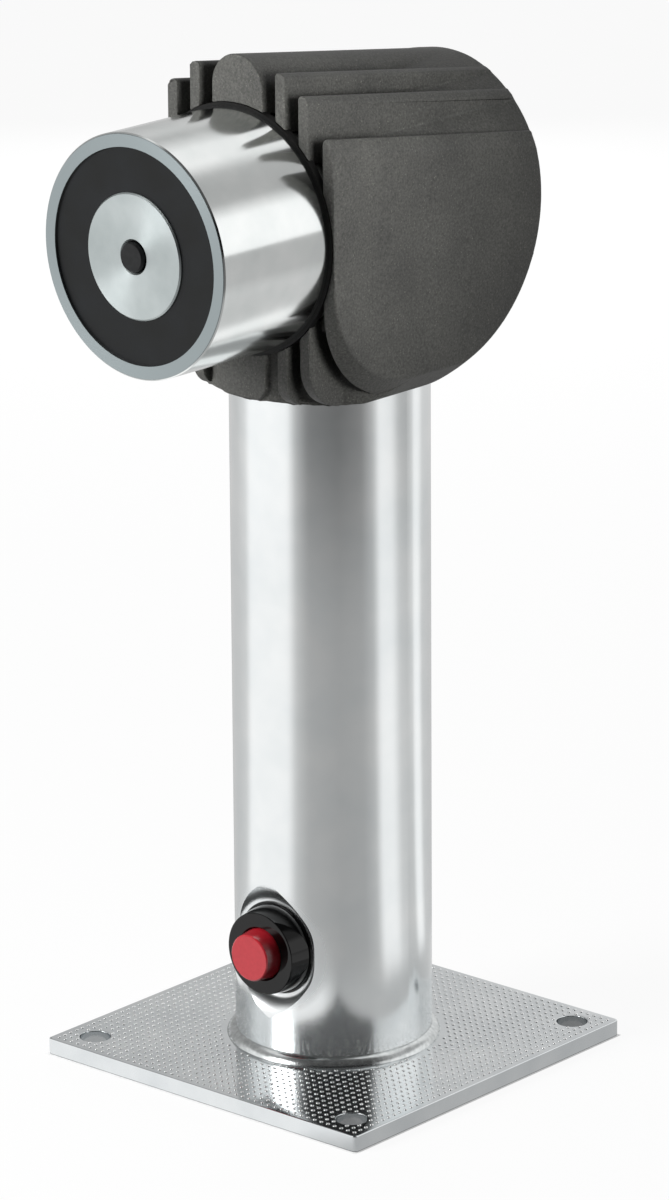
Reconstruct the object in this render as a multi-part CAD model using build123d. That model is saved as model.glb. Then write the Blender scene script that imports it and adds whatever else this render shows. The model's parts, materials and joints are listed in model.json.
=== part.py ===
from build123d import *
from math import asin, cos, pi, radians, sin, sqrt
import os

# Floor-standing electromagnetic door holder. A square base plate carries a steel post,
# the post carries a finned plastic head, and the head carries a round holding magnet.
# Millimetres. +Z is up, the origin is on the post axis at the underside of the plate.
# The release button faces -Y and the head is set a little off it, as in the picture.

# Driving dimensions of the base and post
plate_side = 120.0
plate_thickness = 5.0
plate_corner = 1.5
bolt_edge_distance = 10.0
bolt_hole_radius = 4.5
cable_hole_radius = 10.0
tube_radius = 29.0
tube_wall = 2.5
weld_leg = 2.6
weld_crown = 0.62

# Driving dimensions of the head, heights measured from the magnet axis
magnet_height = 256.0
head_turn = -2.2
head_front = 37.0
ball_radius = 58.0
ball_centre_back = 5.0
cheek_over_pot = 2.0
head_bottom = 49.0
roof_over_cheek = 1.7
roof_centre_rise = 11.5
roof_centre_side = 1.5
roof_slope = 8.5
groove_floor_over_pot = 2.8
groove_front_depth = 5.0
ridge_half_width = 9.75
ridge_foot_round = 5.0
fin_1_middle = 16.5
fin_2_middle = 25.3
fin_thickness = 3.9
fin_1_toe_round = 6.5
fin_2_toe_round = 13.0
fin_top_round = 1.4
cheek_thickness = 4.5
cheek_top_round = 2.0
cheek_inner_toe_round = 30.0
cheek_inner_toe_low = 48.0
cheek_outer_toe_round = 32.0
cheek_outer_toe_low = 43.0
cheek_toe_run_out = 20.0
neck_radius = 36.5

# Driving dimensions inside the head
tube_engagement = 12.0
spigot_length = 30.0
chamber_half = 16.5
chamber_rise = 12.0
bulkhead_thickness = 5.0
nut_pocket_half = 10.5
clamp_screw_angle = 35.0
clamp_screw_radius = 2.5
clamp_screw_length = 7.5
clamp_socket_radius = 1.3
clamp_socket_depth = 3.0
clamp_insert_radius = 3.6
clamp_insert_length = 6.0
clamp_rise = 6.0

# Driving dimensions of the holding magnet
pot_radius = 35.0
pot_wall = 4.1
pot_floor = 9.0
pot_chamfer = 0.5
pot_seat_depth = 1.0
magnet_reach = 78.7
resin_width = 12.83
core_chamfer = 0.4
resin_recess = 0.8
resin_depth = 3.0
bobbin_wall = 1.4
bobbin_flange = 1.6
winding_below_rim = 1.0
seal_thickness = 1.1
seal_length = 2.2
seal_proud = 0.2
stud_radius = 4.0
stud_grip = 7.0
stud_tip = 2.0
nut_flats = 13.0
nut_height = 6.5
washer_radius = 8.0
washer_thickness = 1.6
lead_bush_radius = 3.0
lead_bush_bore = 1.6
lead_bush_length = 17.0
lead_hole_inset = 6.9

# Driving dimensions of the release pin in the magnet core
pin_head_radius = 4.3
pin_proud = 1.0
pin_head_length = 9.0
pin_edge = 0.4
pin_mouth = 0.5
pin_stem_radius = 2.0
pin_guide_length = 4.0
pin_tail_room = 4.0
pin_clip_radius = 3.5
pin_clip_thickness = 0.8
pin_tail = 1.2
pin_spring_wire = 0.8
pin_spring_turns = 6

# Driving dimensions of the release button and its flat seat pressed into the post
button_height = 38.0
button_seat = 25.1
button_seat_radius = 14.4
button_dish_radius = 21.0
button_dish_foot = 0.22
collar_front = 32.6
collar_front_radius = 12.35
collar_base_radius = 13.3
collar_edge = 0.2
flange_radius = 13.95
flange_thickness = 0.7
flange_edge = 0.25
barrel_radius = 11.0
barrel_length = 19.0
cap_front = 37.4
cap_front_radius = 7.0
cap_base_radius = 7.6
cap_edge = 0.35
cap_skirt = 3.0
cap_well_depth = 7.0
cap_well_mouth = 0.3
stem_radius = 2.5
guide_web = 3.0
contact_room_radius = 9.0
button_lid_thickness = 2.0
tab_thickness = 0.6
tab_width = 4.0
tab_length = 6.0
tab_seat = 7.8
contact_reach = 4.4
contact_gap = 0.1
bridge_thickness = 0.8
stem_tail_radius = 1.8
stem_tail = 2.0
button_spring_wire = 0.6
button_spring_radius = 3.6
button_spring_turns = 5
button_nut_flats = 27.0
button_nut_height = 4.0
button_washer_radius = 13.2
button_washer_thickness = 1.2

# Driving dimensions of the terminal block
block_end = 5.4
block_depth = 11.0
block_height = 20.0
block_above_spigot_foot = 8.0
pole_pitch = 8.0
cage_width = 5.2
cage_depth = 7.0
cage_height = 14.0
cage_back_wall = 1.5
wire_hole_radius = 1.5
wire_hole_from_cage_back = 2.5
terminal_screw_radius = 1.5
terminal_screw_half_pitch = 4.0
terminal_screw_length = 5.0
terminal_screw_sunk = 0.4
block_screw_radius = 1.5
block_screw_from_end = 2.8
block_screw_head_radius = 2.6
block_screw_head_height = 1.8
block_screw_bite = 4.5

# Driving dimensions of the cable grommet in the plate
grommet_flange_radius = 12.5
grommet_flange_height = 2.0
grommet_bore_radius = 5.0
grommet_foot = 0.8

# How finely the sealed springs are drawn
spring_corners = 10
spring_wire_sides = 6

# Clearances between neighbours, and the overlap that cutting tools are given
running_clearance = 0.05
sliding_clearance = 0.3
seat_clearance = 0.02
screw_tip_clearance = 0.1
cut = 1.0

# Places that follow from the sizes above
tube_bore = tube_radius - tube_wall
socket_top = tube_engagement - head_bottom
cheek_half_width = pot_radius + cheek_over_pot
cheek_inner_face = cheek_half_width - cheek_thickness
groove_floor_radius = pot_radius + groove_floor_over_pot
roof_radius = cheek_half_width + roof_over_cheek
bolt_spacing = plate_side - 2 * bolt_edge_distance
tube_top = magnet_height + socket_top
spigot_foot = socket_top - spigot_length
spigot_radius = tube_bore - running_clearance
clamp_height = clamp_rise - head_bottom
clamp_screw_tip = tube_radius + screw_tip_clearance
clamp_screw_end = clamp_screw_tip + clamp_screw_length
head_back = ball_centre_back + ball_radius
ridge_top = roof_centre_rise + roof_radius
fins = ((fin_1_middle, fin_1_toe_round), (fin_2_middle, fin_2_toe_round))
front_plane = Plane(origin=(0, -head_front, 0), x_dir=(1, 0, 0), z_dir=(0, -1, 0))

pot_rear = head_front - groove_front_depth - pot_seat_depth
pot_bore = pot_radius - pot_wall
core_radius = pot_bore - resin_width
lead_hole_drop = pot_bore - lead_hole_inset
nut_seat = pot_rear - bulkhead_thickness
washer_rear = nut_seat - washer_thickness
nut_rear = washer_rear - nut_height
core_rear = pot_rear + pot_floor
stud_front = core_rear + stud_grip
land_rear = stud_front + pin_tail_room
land_front = land_rear + pin_guide_length
pin_hole_radius = pin_head_radius + sliding_clearance
pin_head_front = magnet_reach + pin_proud
pin_head_rear = pin_head_front - pin_head_length
pin_clip_front = land_rear - screw_tip_clearance
pin_clip_rear = pin_clip_front - pin_clip_thickness
resin_front = magnet_reach - resin_recess
resin_rear = resin_front - resin_depth
seal_radius = pot_radius + seat_clearance + seal_thickness
seal_rear = head_front + seal_proud - seal_length

barrel_rear = tube_radius - barrel_length
well_floor = collar_front - cap_well_depth
well_radius = cap_base_radius + sliding_clearance
contact_front = well_floor - guide_web
contact_face = contact_front - tab_thickness
bridge_front = contact_face - contact_gap
bridge_rear = bridge_front - bridge_thickness
button_seat_inside = button_seat - tube_wall
button_nut_seat = button_seat_inside - button_washer_thickness

block_low = spigot_foot + block_above_spigot_foot
block_top = block_low + block_height
block_middle = (block_low + block_top) / 2
block_width = 2 * (pole_pitch + cage_width / 2 + block_end)
block_screw_half_span = block_width / 2 - block_screw_from_end
block_front = chamber_half - block_depth
cage_back = chamber_half - cage_back_wall
cage_front = cage_back - cage_depth
wire_hole_back = cage_back - wire_hole_from_cage_back
cage_low = block_middle - cage_height / 2
poles = (-pole_pitch, 0, pole_pitch)


def rod(radius, low, high):
    """Solid round bar on the local Z axis."""
    return Pos(0, 0, low) * Cylinder(radius, high - low, align=(Align.CENTER, Align.CENTER, Align.MIN))


def ring(inner, outer, low, high):
    """Round tube on the local Z axis."""
    return rod(outer, low, high) - rod(inner, low - cut, high + cut)


def turned(*points):
    """Solid turned about the local Z axis from an outline of (radius, height) points."""
    outline = Polyline(*[(radius, 0, height) for radius, height in points], close=True)
    return revolve(make_face(outline), Axis.Z)


def block(low_corner, high_corner):
    """Rectangular block between two opposite corners."""
    size = [high - low for low, high in zip(low_corner, high_corner)]
    return Pos(*low_corner) * Box(*size, align=(Align.MIN, Align.MIN, Align.MIN))


def outward(shape, height=0):
    """Turns a shape made on the local Z axis so that Z points out along -Y at a height."""
    return Pos(0, 0, height) * Rot(X=90) * shape


def hexagon_nut(flats, bore, low, high):
    """Hexagon nut on the local Z axis, corners up and down once it is turned outward."""
    body = Rot(Z=90) * extrude(RegularPolygon(flats / 2, 6, major_radius=False), high - low)
    return Pos(0, 0, low) * body - rod(bore, low - cut, high + cut)


def coil_spring(mean_radius, wire, turns, low, high):
    """Helical spring on the local Z axis, in straight lengths because it is sealed inside."""
    steps = turns * spring_corners
    rise = (high - low - wire) / steps
    turn = 2 * pi / spring_corners
    path = Polyline(*[
        (mean_radius * cos(step * turn), mean_radius * sin(step * turn), low + wire / 2 + step * rise)
        for step in range(steps + 1)
    ])
    section = Plane(origin=path @ 0, z_dir=path % 0) * RegularPolygon(wire / 2, spring_wire_sides)
    return sweep(section, path, transition=Transition.RIGHT)


def base_plate():
    """Square foot with four bolt holes and a cable hole under the post."""
    plate = extrude(RectangleRounded(plate_side, plate_side, plate_corner), plate_thickness)
    for place in GridLocations(bolt_spacing, bolt_spacing, 2, 2):
        plate -= place * rod(bolt_hole_radius, -cut, plate_thickness + cut)
    return plate - rod(cable_hole_radius, -cut, plate_thickness + cut)


def button_dish(depth):
    """Tool for the dish round the button: a flat seat that curves up into the post wall."""
    low = button_seat - depth
    high = tube_radius - depth
    run = button_dish_radius - button_seat_radius
    rise = high - low
    top = tube_radius + cut
    turn = (run**2 + rise**2) / (2 * rise)
    bend = asin(run / turn) / 2
    along = turn * sin(bend)
    up = turn * (1 - cos(bend))
    foot = button_dish_foot
    brow = 1 - foot
    start = (button_seat_radius, 0, low)
    knee = (button_seat_radius + foot * run, 0, low + foot * rise)
    end = (button_dish_radius, 0, high)
    lower = ThreePointArc(start, (button_seat_radius + foot * along, 0, low + foot * up), knee)
    upper = ThreePointArc(knee, (button_dish_radius - brow * along, 0, high - brow * up), end)
    rest = Polyline(end, (button_dish_radius, 0, top), (0, 0, top), (0, 0, low), start)
    return outward(revolve(make_face(lower + upper + rest), Axis.Z), button_height)


def post_tube():
    """Round post standing on the plate, dished and bored through for the release button."""
    bore = rod(tube_bore, plate_thickness - cut, tube_top + cut) - button_dish(tube_wall)
    tube = rod(tube_radius, plate_thickness, tube_top) - bore - button_dish(0)
    return tube - outward(rod(barrel_radius + running_clearance, 0, tube_radius), button_height)


def weld_bead():
    """Fillet weld round the foot of the post, slightly crowned."""
    inner = tube_radius + seat_clearance
    outer = inner + weld_leg
    top = plate_thickness + weld_leg
    crown_out = inner + weld_crown * weld_leg
    crown_up = plate_thickness + weld_crown * weld_leg
    slope = ThreePointArc((outer, 0, plate_thickness), (crown_out, 0, crown_up), (inner, 0, top))
    legs = Polyline((inner, 0, top), (inner, 0, plate_thickness), (outer, 0, plate_thickness))
    return revolve(make_face(slope + legs), Axis.Z)


def cable_grommet():
    """Rubber grommet pushed into the cable hole from inside the post."""
    sleeve = ring(grommet_bore_radius, cable_hole_radius - seat_clearance, grommet_foot, plate_thickness)
    top = plate_thickness + grommet_flange_height
    return sleeve + ring(grommet_bore_radius, grommet_flange_radius, plate_thickness, top)


def button_housing():
    """Black collar and lip on the seat of the post, with a barrel through the wall."""
    lip = button_seat + flange_thickness
    shell = rod(barrel_radius, barrel_rear, button_seat) + turned(
        (0, button_seat), (flange_radius, button_seat), (flange_radius, lip - flange_edge),
        (flange_radius - flange_edge, lip), (collar_base_radius, lip),
        (collar_front_radius, collar_front - collar_edge),
        (collar_front_radius - collar_edge, collar_front), (0, collar_front),
    )
    well = turned(
        (0, well_floor), (well_radius, well_floor), (well_radius, collar_front - cap_well_mouth),
        (well_radius + cap_well_mouth, collar_front), (well_radius + cap_well_mouth, collar_front + cut),
        (0, collar_front + cut),
    )
    hollow = well + rod(stem_radius + running_clearance, contact_front - cut, well_floor + cut)
    hollow += rod(contact_room_radius, barrel_rear - cut, contact_front)
    return outward(shell - hollow, button_height)


def button_washer():
    """Flat washer between the dished wall of the post and the nut."""
    bore = barrel_radius + running_clearance
    return outward(ring(bore, button_washer_radius, button_nut_seat, button_seat_inside), button_height)


def button_nut():
    """Hexagon nut that clamps the button in the post."""
    rear = button_nut_seat - button_nut_height
    nut = hexagon_nut(button_nut_flats, barrel_radius + seat_clearance, rear, button_nut_seat)
    return outward(nut, button_height)


def button_cap():
    """Red cap and guide stem in one piece, the thin tail passes through the moving contact."""
    skirt_rear = collar_front - cap_skirt
    cap = turned(
        (0, skirt_rear), (cap_base_radius, skirt_rear), (cap_base_radius, collar_front),
        (cap_front_radius, cap_front - cap_edge), (cap_front_radius - cap_edge, cap_front), (0, cap_front),
    )
    stem = rod(stem_radius, bridge_front, skirt_rear)
    tail = rod(stem_tail_radius, bridge_rear - stem_tail, bridge_front)
    return outward(cap + stem + tail, button_height)


def contact_bridge():
    """Brass bar that the cap lifts off the two fixed contacts."""
    half = tab_seat - sliding_clearance
    bar = block((-half, -tab_width / 2, bridge_rear), (half, tab_width / 2, bridge_front))
    hole = rod(stem_tail_radius + seat_clearance, bridge_rear - cut, bridge_front + cut)
    return outward(bar - hole, button_height)


def button_contacts():
    """Two bent brass contacts with solder tabs through the rear lid."""
    half = tab_width / 2
    leg = block((tab_seat, -half, barrel_rear - tab_length), (tab_seat + tab_thickness, half, contact_front))
    foot = block((contact_reach, -half, contact_face), (tab_seat, half, contact_front))
    right = leg + foot
    return outward(Compound([right, Rot(Z=180) * right]), button_height)


def button_lid():
    """Rear lid of the button, slotted for the solder tabs."""
    front = barrel_rear + button_lid_thickness
    lid = rod(contact_room_radius - seat_clearance, barrel_rear, front)
    near = tab_seat - seat_clearance
    far = tab_seat + tab_thickness + seat_clearance
    half = tab_width / 2 + seat_clearance
    slot = block((near, -half, barrel_rear - cut), (far, half, front + cut))
    return outward(lid - slot - Rot(Z=180) * slot, button_height)


def button_spring():
    """Return spring between the rear lid and the moving contact."""
    low = barrel_rear + button_lid_thickness
    coil = coil_spring(button_spring_radius, button_spring_wire, button_spring_turns, low, bridge_rear)
    return outward(coil, button_height)


def run_back(view, slope):
    """Runs a front view of the head to its back, falling at a slope in degrees."""
    length = (head_front + head_back + cut) / cos(radians(slope))
    return extrude(front_plane * view, length, dir=(0, cos(radians(slope)), -sin(radians(slope))))


def rib_view(inner, outer, rounding):
    """Front view of one rib above the magnet axis, as high as the roof over its middle."""
    middle = (inner + outer) / 2
    top = roof_centre_rise + sqrt(roof_radius**2 - (middle - roof_centre_side) ** 2)
    outline = Pos(middle, top / 2) * Rectangle(outer - inner, top)
    return fillet(outline.vertices().group_by(Axis.Y)[-1], rounding)


def upper_ribs():
    """Fins, cheeks and centre ridge above the magnet axis, falling towards the back."""
    slats = [(cheek_inner_face, cheek_half_width, cheek_top_round)]
    for middle, _ in fins:
        slats.append((middle - fin_thickness / 2, middle + fin_thickness / 2, fin_top_round))
    front = [rib_view(*slat) for slat in slats]
    front += [rib_view(-outer, -inner, rounding) for inner, outer, rounding in slats]
    crown = ridge_top - ridge_half_width
    ridge = Pos(0, crown) * Circle(ridge_half_width)
    ridge += Pos(0, crown / 2) * Rectangle(2 * ridge_half_width, crown)
    ribs = run_back(ridge + front, roof_slope)
    half = cheek_half_width
    return ribs & block((-half, -head_front, 0), (half, head_back, ridge_top))


def lower_ribs():
    """Fins, cheeks and centre ridge below the magnet axis, their front feet rounded."""
    foot = Pos(0, -head_bottom / 2) * Rectangle(2 * ridge_half_width, head_bottom)
    foot = fillet(foot.vertices().group_by(Axis.Y)[0], ridge_foot_round)
    half = block((cheek_inner_face, -head_front, -head_bottom), (cheek_half_width, cut, cut))
    for middle, rounding in fins:
        side = Pos(-head_front / 2, -head_bottom / 2) * Rectangle(head_front, head_bottom)
        side = fillet(side.vertices().group_by(Axis.X)[0].group_by(Axis.Y)[0], rounding)
        near = Plane(origin=(middle - fin_thickness / 2, 0, 0), x_dir=(0, 1, 0), z_dir=(1, 0, 0))
        half += extrude(near * side, fin_thickness)
    return extrude(front_plane * foot, -head_front) + half + mirror(half, Plane.YZ)


def toe_view(across, rounding, low):
    """Side view of the stock cut away under one edge of a cheek, rounding then level."""
    heel = rounding - head_front
    knee = rounding - low
    far = 2 * rounding
    bend = rounding * sin(radians(45))
    arc = ThreePointArc((across, heel, -low), (across, heel - bend, knee - bend), (across, -head_front, knee))
    rest = Polyline(
        (across, -head_front, knee), (across, -head_front - far, knee), (across, -head_front - far, -far),
        (across, cheek_toe_run_out, -far), (across, cheek_toe_run_out, -low), (across, heel, -low),
    )
    return make_face(arc + rest)


def cheek_toe():
    """Tool for the twisted strip that joins the cheek front to its underside."""
    inner = toe_view(cheek_inner_face, cheek_inner_toe_round, cheek_inner_toe_low)
    outer = toe_view(cheek_half_width, cheek_outer_toe_round, cheek_outer_toe_low)
    return loft([inner, outer], ruled=True)


def head_skin():
    """Outer skin: a round bar on the magnet axis that ends in a ball, its sides cut flat."""
    bar = Rot(X=90) * rod(ball_radius, -ball_centre_back, head_front)
    ball = Pos(0, ball_centre_back, 0) * Sphere(ball_radius)
    ball &= block((-ball_radius, ball_centre_back, -ball_radius), (ball_radius, head_back, ball_radius))
    return (bar + ball) & block(
        (-cheek_half_width, -head_front, -head_bottom), (cheek_half_width, head_back, ridge_top)
    )


def head_shell():
    """Solid head: the drum behind the magnet, the ribs round it and the neck over the post."""
    roof = Pos(roof_centre_side, roof_centre_rise) * Circle(roof_radius)
    drop = roof_centre_rise + head_bottom + cut
    roof += Pos(roof_centre_side, roof_centre_rise - drop / 2) * Rectangle(2 * roof_radius, drop)
    drum = Rot(X=90) * rod(groove_floor_radius, -head_back, head_front - groove_front_depth)
    heel = block((-cheek_half_width, 0, -head_bottom), (cheek_half_width, head_back, 0))
    neck = rod(neck_radius, -head_bottom, 0) & block(
        (-neck_radius, -neck_radius, -head_bottom), (neck_radius, 0, 0)
    )
    shell = drum + heel + neck + lower_ribs() + upper_ribs()
    shell = shell & head_skin() & run_back(roof, roof_slope)
    return shell - cheek_toe() - mirror(cheek_toe(), Plane.YZ)


def wiring_chamber():
    """Square room up through the spigot, and the pocket for the stud nut in its front wall."""
    side = chamber_half
    room = block((-side, -side, spigot_foot - cut), (side, side, chamber_rise))
    half = nut_pocket_half
    return room + block((-half, -nut_seat, -half), (half, -side + cut, half))


def at_clamps(shape):
    """Copies a shape made outward along -Y to the two clamp screws at the back of the neck."""
    angles = (180 - clamp_screw_angle, 180 + clamp_screw_angle)
    return [Rot(Z=angle) * outward(shape, clamp_height) for angle in angles]


def head_housing():
    """Moulded head with the magnet seat, the post socket, the spigot and all its holes."""
    shell = head_shell() - rod(tube_radius + running_clearance, -head_bottom - cut, socket_top)
    shell += rod(spigot_radius, spigot_foot, socket_top + cut)
    shell -= wiring_chamber()
    shell -= outward(rod(pot_radius + sliding_clearance, pot_rear, head_front + cut))
    shell -= outward(rod(seal_radius + seat_clearance, seal_rear, head_front + cut))
    shell -= outward(rod(stud_radius + sliding_clearance, nut_seat - cut, pot_rear + cut))
    lead_hole = rod(lead_bush_radius + seat_clearance, nut_seat / 2, pot_rear + cut)
    shell -= outward(lead_hole, -lead_hole_drop)
    insert_end = tube_radius + clamp_insert_length
    clamp_hole = rod(clamp_insert_radius + seat_clearance, tube_radius, insert_end)
    clamp_hole += rod(clamp_screw_radius + sliding_clearance, tube_radius, ball_radius)
    for hole in at_clamps(clamp_hole):
        shell -= hole
    screw_hole = rod(block_screw_radius + seat_clearance, -chamber_half - block_screw_bite, -block_front)
    for side in (-1, 1):
        shell -= Pos(side * block_screw_half_span, 0, 0) * outward(screw_hole, block_middle)
    return shell


def clamp_inserts():
    """Two threaded brass inserts in the neck wall."""
    low = tube_radius + running_clearance
    high = tube_radius + clamp_insert_length
    return Compound(at_clamps(ring(clamp_screw_radius + seat_clearance, clamp_insert_radius, low, high)))


def clamp_screws():
    """Two socket set screws that stop the head turning on the post."""
    screw = rod(clamp_screw_radius, clamp_screw_tip, clamp_screw_end)
    socket = extrude(RegularPolygon(clamp_socket_radius, 6, major_radius=False), clamp_socket_depth + cut)
    return Compound(at_clamps(screw - Pos(0, 0, clamp_screw_end - clamp_socket_depth) * socket))


def magnet_pot():
    """Steel pot of the magnet, holed in its floor for the stud and the leads."""
    pot = turned(
        (0, pot_rear), (pot_radius - pot_chamfer, pot_rear), (pot_radius, pot_rear + pot_chamfer),
        (pot_radius, magnet_reach - pot_chamfer), (pot_radius - pot_chamfer, magnet_reach),
        (pot_bore, magnet_reach), (pot_bore, core_rear), (0, core_rear),
    )
    pot -= rod(stud_radius + running_clearance, pot_rear - cut, core_rear + cut)
    lead_hole = rod(lead_bush_radius + seat_clearance, pot_rear - cut, core_rear + cut)
    return outward(pot - Pos(0, -lead_hole_drop, 0) * lead_hole)


def magnet_core():
    """Steel core with the pin hole in front, a guide land and the stud hole behind."""
    stud_bore = stud_radius + seat_clearance
    guide_bore = pin_stem_radius + running_clearance
    core = turned(
        (stud_bore, core_rear), (core_radius, core_rear), (core_radius, magnet_reach - core_chamfer),
        (core_radius - core_chamfer, magnet_reach), (pin_hole_radius + pin_mouth, magnet_reach),
        (pin_hole_radius, magnet_reach - pin_mouth), (pin_hole_radius, land_front),
        (guide_bore, land_front), (guide_bore, land_rear), (stud_bore, land_rear),
    )
    return outward(core)


def coil_bobbin():
    """Moulded bobbin on the core with a flange at each end."""
    bore = core_radius + running_clearance
    rim = pot_bore - running_clearance
    tube = bore + bobbin_wall
    return outward(turned(
        (bore, core_rear), (rim, core_rear), (rim, core_rear + bobbin_flange),
        (tube, core_rear + bobbin_flange), (tube, resin_rear - bobbin_flange),
        (rim, resin_rear - bobbin_flange), (rim, resin_rear), (bore, resin_rear),
    ))


def coil_winding():
    """Copper winding between the bobbin flanges."""
    inner = core_radius + running_clearance + bobbin_wall + seat_clearance
    outer = pot_bore - winding_below_rim
    return outward(ring(inner, outer, core_rear + bobbin_flange, resin_rear - bobbin_flange))


def potting_resin():
    """Black resin that closes the coil, sunk a little below the holding face."""
    inner = core_radius + seat_clearance
    return outward(ring(inner, pot_bore - seat_clearance, resin_rear, resin_front))


def pot_seal():
    """Thin rubber ring between the pot and the mouth of its seat."""
    return outward(ring(pot_radius + seat_clearance, seal_radius, seal_rear, head_front + seal_proud))


def pot_stud():
    """Threaded stud from the core back through the pot floor and the bulkhead."""
    return outward(rod(stud_radius, nut_rear - stud_tip, stud_front))


def pot_washer():
    """Flat washer under the stud nut."""
    return outward(ring(stud_radius + running_clearance, washer_radius, washer_rear, nut_seat))


def pot_nut():
    """Hexagon nut on the stud."""
    return outward(hexagon_nut(nut_flats, stud_radius + seat_clearance, nut_rear, washer_rear))


def lead_bush():
    """Insulating bush that carries the coil leads through the pot floor and the bulkhead."""
    bush = ring(lead_bush_bore, lead_bush_radius, core_rear - lead_bush_length, core_rear)
    return outward(bush, -lead_hole_drop)


def release_pin():
    """Black sprung pin in the core that parts the door plate from the magnet."""
    tail_end = pin_clip_rear - pin_tail
    return outward(turned(
        (0, tail_end), (pin_stem_radius, tail_end), (pin_stem_radius, pin_head_rear),
        (pin_head_radius, pin_head_rear), (pin_head_radius, pin_head_front - pin_edge),
        (pin_head_radius - pin_edge, pin_head_front), (0, pin_head_front),
    ))


def pin_clip():
    """Clip on the pin stem behind the guide land."""
    return outward(ring(pin_stem_radius + seat_clearance, pin_clip_radius, pin_clip_rear, pin_clip_front))


def pin_spring():
    """Spring between the guide land and the pin head."""
    mean = (pin_stem_radius + pin_hole_radius) / 2
    return outward(coil_spring(mean, pin_spring_wire, pin_spring_turns, land_front, pin_head_rear))


def terminal_block():
    """Three-pole terminal block, its cage pockets open at the top."""
    half = block_width / 2
    body = block((-half, block_front, block_low), (half, chamber_half, block_top))
    wide = cage_width / 2 + seat_clearance
    for pole in poles:
        body -= block(
            (pole - wide, cage_front - seat_clearance, cage_low),
            (pole + wide, cage_back + seat_clearance, block_top + cut),
        )
        body -= Pos(pole, wire_hole_back, 0) * rod(wire_hole_radius, block_low - cut, cage_low + cut)
    for access in at_terminals(terminal_screw_radius + sliding_clearance, block_front - cut, cage_front + cut):
        body -= access
    for side in (-1, 1):
        hole = rod(block_screw_radius + sliding_clearance, -chamber_half - cut, -block_front + cut)
        body -= Pos(side * block_screw_half_span, 0, 0) * outward(hole, block_middle)
    return body


def at_terminals(radius, front, back):
    """Round bars across the block at the six terminal screws, between two depths from the front."""
    bar = rod(radius, -back, -front)
    heights = (block_middle - terminal_screw_half_pitch, block_middle + terminal_screw_half_pitch)
    return [Pos(pole, 0, 0) * outward(bar, height) for pole in poles for height in heights]


def terminal_cages():
    """Three brass cages with a wire hole down each and two screw holes across it."""
    cages = []
    for pole in poles:
        half = cage_width / 2
        cage = block((pole - half, cage_front, cage_low), (pole + half, cage_back, cage_low + cage_height))
        cage -= Pos(pole, wire_hole_back, 0) * rod(wire_hole_radius, block_low, block_top)
        for hole in at_terminals(terminal_screw_radius + seat_clearance, cage_front - cut, wire_hole_back):
            cage -= hole
        cages.append(cage)
    return Compound(cages)


def terminal_screws():
    """Six screws in the cages, their heads just under the block face."""
    front = block_front + terminal_screw_sunk
    return Compound(at_terminals(terminal_screw_radius, front, front + terminal_screw_length))


def block_screws():
    """Two screws that hold the terminal block to the back of the spigot."""
    shank = rod(block_screw_radius, -chamber_half - block_screw_bite, -block_front)
    head = rod(block_screw_head_radius, -block_front, -block_front + block_screw_head_height)
    screw = outward(shank + head, block_middle)
    return Compound([Pos(side * block_screw_half_span, 0, 0) * screw for side in (-1, 1)])


post_pieces = {
    "base_plate": base_plate,
    "post_tube": post_tube,
    "weld_bead": weld_bead,
    "cable_grommet": cable_grommet,
    "button_housing": button_housing,
    "button_washer": button_washer,
    "button_nut": button_nut,
    "button_contacts": button_contacts,
    "button_lid": button_lid,
    "button_spring": button_spring,
    "button_cap": button_cap,
    "contact_bridge": contact_bridge,
}
head_pieces = {
    "head_housing": head_housing,
    "clamp_inserts": clamp_inserts,
    "clamp_screws": clamp_screws,
    "magnet_pot": magnet_pot,
    "magnet_core": magnet_core,
    "coil_bobbin": coil_bobbin,
    "coil_winding": coil_winding,
    "potting_resin": potting_resin,
    "pot_seal": pot_seal,
    "pot_stud": pot_stud,
    "pot_washer": pot_washer,
    "pot_nut": pot_nut,
    "lead_bush": lead_bush,
    "release_pin": release_pin,
    "pin_clip": pin_clip,
    "pin_spring": pin_spring,
    "terminal_block": terminal_block,
    "terminal_cages": terminal_cages,
    "terminal_screws": terminal_screws,
    "block_screws": block_screws,
}

os.makedirs("parts", exist_ok=True)
for name, make in post_pieces.items():
    export_step(make(), f"parts/{name}.step")
for name, make in head_pieces.items():
    export_step(Pos(0, 0, magnet_height) * Rot(Z=head_turn) * make(), f"parts/{name}.step")
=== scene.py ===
import json
from math import cos, pi, radians, sin

import bpy
from mathutils import Matrix, Vector
from mathutils.bvhtree import BVHTree

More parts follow.
